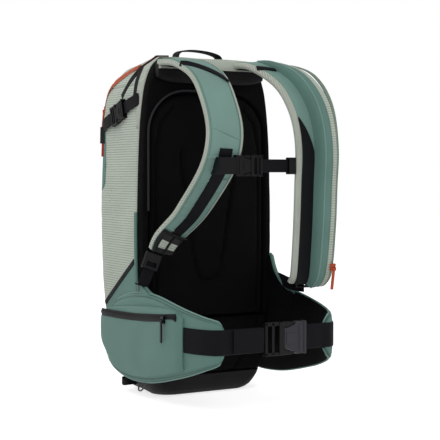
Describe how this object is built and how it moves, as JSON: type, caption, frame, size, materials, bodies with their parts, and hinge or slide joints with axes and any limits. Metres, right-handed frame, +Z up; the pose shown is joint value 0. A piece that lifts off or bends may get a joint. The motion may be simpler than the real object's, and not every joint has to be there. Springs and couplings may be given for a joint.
{
  "type": "avalanche airbag backpack",
  "caption": "Ski touring backpack with an electric-fan avalanche airbag, padded harness, buckled hip belt and a back panel door.",
  "frame": {"origin": "middle of the flat underside that the pack stands on, level with the bag's own middle plane", "axes": "+Z up, +X the wearer's left, -Y the harness side, +Y the front of the bag"},
  "size_m": [0.2847, 0.379, 0.568],
  "materials": {
    "cream_ripstop": "fine grid ripstop, matt",
    "sage_fabric": "plain weave, matt",
    "black_foam": "brushed knit over moulded foam",
    "black_fabric": "coated pack fabric",
    "cream_mesh": "perforated mesh binding",
    "black_webbing": "ribbed webbing",
    "grey_webbing": "ribbed webbing",
    "grey_cord": "braided cord",
    "black_plastic": "moulded, fine texture",
    "grey_plastic": "moulded, satin",
    "orange_zip": "zip tape",
    "orange_pull": "soft moulded pull",
    "white_sheet": "extruded sheet",
    "aluminium": "bare",
    "motor_steel": "turned",
    "capacitor_sleeve": "sleeved can",
    "board_green": "solder mask",
    "airbag_orange": "coated nylon, folded"
  },
  "bodies": {
    "pack": {"airbag": "airbag_orange", "airbag_pouch": "black_fabric", "back_edges": "black_foam", "base_loop": "black_webbing", "base_panel": "black_fabric", "belt_female": "grey_plastic", "belt_webbing": "black_webbing", "compression_females": "black_plastic", "compression_webbing": "grey_webbing", "control_board": "board_green", "front_panel": "cream_ripstop", "front_zip_tape": "orange_zip", "haul_loop": "black_webbing", "hip_pocket": "sage_fabric", "inflator_cover": "grey_plastic", "inflator_housing": "black_plastic", "ladder_locks": "black_plastic", "left_belt_wing": "sage_fabric", "left_shoulder_strap": "sage_fabric", "left_side_panel": "cream_ripstop", "load_lifters": "black_webbing", "lower_webbing": "grey_webbing", "lumbar_pad": "black_foam", "motor": "motor_steel", "outlet_duct": "black_plastic", "pocket_hems": "black_webbing", "right_belt_wing": "black_foam", "right_shoulder_strap": "black_foam", "right_side_panel": "cream_ripstop", "side_pockets": "sage_fabric", "sternum_clips": "black_plastic", "sternum_female": "black_plastic", "sternum_webbing": "black_webbing", "strap_sleeve": "cream_ripstop", "strap_webbing": "black_webbing", "supercapacitors": "capacitor_sleeve", "tie_cord": "grey_cord", "top_panel": "cream_ripstop", "trigger_cable": "grey_cord", "upper_back_panel": "black_foam", "yoke": "cream_ripstop"},
    "back_door": {"door_pad": "black_foam", "frame_sheet": "white_sheet", "frame_stays": "aluminium"},
    "belt_buckle_male": {"belt_male": "black_plastic"},
    "sternum_buckle_male": {"sternum_male": "black_plastic"},
    "left_compression_buckle_male": {"left_compression_male": "black_plastic"},
    "right_compression_buckle_male": {"right_compression_male": "black_plastic"},
    "trigger_grip": {"trigger_handle": "orange_pull"},
    "release_lever": {"trigger_lever": "grey_plastic"},
    "fan": {"impeller": "grey_plastic"},
    "knob": {"power_knob": "orange_pull"},
    "flap": {"valve_flap": "grey_plastic"},
    "front_slider": {"front_zip_slider": "orange_pull"},
    "front_pull": {"front_zip_pull": "orange_pull"},
    "hip_slider": {"hip_zip_slider": "black_plastic"},
    "hip_pull": {"hip_zip_pull": "black_plastic"},
    "sleeve_slider": {"sleeve_zip_slider": "orange_pull"},
    "sleeve_pull": {"sleeve_zip_pull": "orange_pull"}
  },
  "joints": [
    {"name": "back_panel_hinge", "type": "hinge", "parent": "pack", "child": "back_door", "pos_m": [0, -0.085, 0.1246], "axis": [1, 0, 0], "range_deg": [0, 6]},
    {"name": "belt_buckle_release", "type": "slide", "parent": "pack", "child": "belt_buckle_male", "axis": [-1, 0, 0], "range_m": [0, 0.03]},
    {"name": "sternum_buckle_release", "type": "slide", "parent": "pack", "child": "sternum_buckle_male", "axis": [1, 0, 0], "range_m": [0, 0.018]},
    {"name": "left_compression_release", "type": "slide", "parent": "pack", "child": "left_compression_buckle_male", "axis": [0.0514, 0.9575, -0.2838], "range_m": [0, 0.018]},
    {"name": "right_compression_release", "type": "slide", "parent": "pack", "child": "right_compression_buckle_male", "axis": [-0.0514, 0.9575, -0.2838], "range_m": [0, 0.018]},
    {"name": "trigger_pull", "type": "slide", "parent": "pack", "child": "trigger_grip", "axis": [0, 0, -1], "range_m": [0, 0.025]},
    {"name": "trigger_lever_turn", "type": "hinge", "parent": "pack", "child": "release_lever", "pos_m": [0.06, 0.01, 0.425], "axis": [0, 0, 1], "range_deg": [0, 30]},
    {"name": "fan_spin", "type": "hinge", "parent": "pack", "child": "fan", "pos_m": [-0.033, 0, 0.35], "axis": [0, 0, 1], "continuous": true},
    {"name": "power_knob_turn", "type": "hinge", "parent": "pack", "child": "knob", "pos_m": [0.075, 0, 0.3875], "axis": [1, 0, 0], "range_deg": [0, 90]},
    {"name": "valve_flap_swing", "type": "hinge", "parent": "pack", "child": "flap", "pos_m": [-0.033, -0.017, 0.43], "axis": [1, 0, 0], "range_deg": [0, 30]},
    {"name": "front_zip_slide", "type": "slide", "parent": "pack", "child": "front_slider", "axis": [0.048, -0.092, 0.9946], "range_m": [0, 0.02]},
    {"name": "front_pull_swing", "type": "hinge", "parent": "front_slider", "child": "front_pull", "pos_m": [-0.10387, 0.08493, 0.465], "axis": [0.7329, 0.6798, 0.0275], "range_deg": [0, 80]},
    {"name": "hip_zip_slide", "type": "slide", "parent": "pack", "child": "hip_slider", "axis": [0, 1, 0], "range_m": [0, 0.18]},
    {"name": "hip_pull_swing", "type": "hinge", "parent": "hip_slider", "child": "hip_pull", "pos_m": [-0.1429, -0.18, 0.135], "axis": [0, 1, 0], "range_deg": [0, 80]},
    {"name": "sleeve_zip_slide", "type": "slide", "parent": "pack", "child": "sleeve_slider", "axis": [0, -0.1609, 0.987], "range_m": [0, 0.055]},
    {"name": "sleeve_pull_swing", "type": "hinge", "parent": "sleeve_slider", "child": "sleeve_pull", "pos_m": [0.116, -0.26825, 0.21014], "axis": [-1, 0, 0], "range_deg": [0, 80]}
  ],
  "couplings": [
    {"joint": "trigger_lever_turn", "follows": "trigger_pull", "rad_per_m": 20.943}
  ]
}
